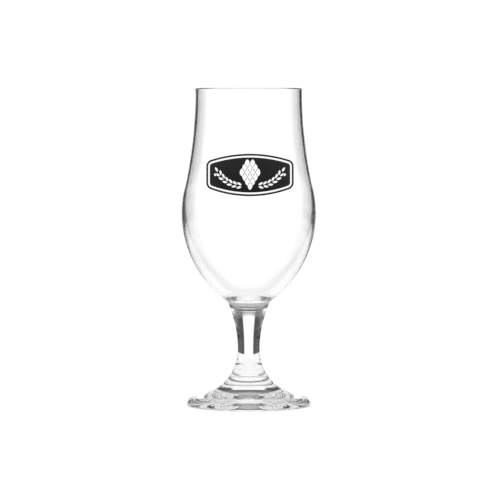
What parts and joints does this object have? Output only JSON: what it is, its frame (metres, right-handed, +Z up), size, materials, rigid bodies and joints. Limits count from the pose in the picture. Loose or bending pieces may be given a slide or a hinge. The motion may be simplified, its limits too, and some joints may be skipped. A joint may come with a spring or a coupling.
{
  "type": "stemmed pint beer glass",
  "caption": "Stemmed tulip beer glass in clear glass: a bowl with a slightly waisted neck and a round belly, a solid drawn stem, a pressed foot and a black printed badge.",
  "frame": {"origin": "centre of the base, on the plane that the foot's resting ring stands on", "axes": "+Z up along the glass's axis of revolution, +X to the right and -Y towards the viewer who faces the printed badge"},
  "size_m": [0.0866, 0.0866, 0.205],
  "materials": {
    "clear_glass": "fire-polished clear soda-lime glass, colourless with a very faint green edge",
    "black_enamel": "opaque black fired glass enamel, one screen-printed colour, satin gloss"
  },
  "bodies": {
    "root": {"bowl": "clear_glass", "stem": "clear_glass", "foot": "clear_glass", "badge_border": "black_enamel", "badge_panel": "black_enamel"}
  },
  "joints": []
}
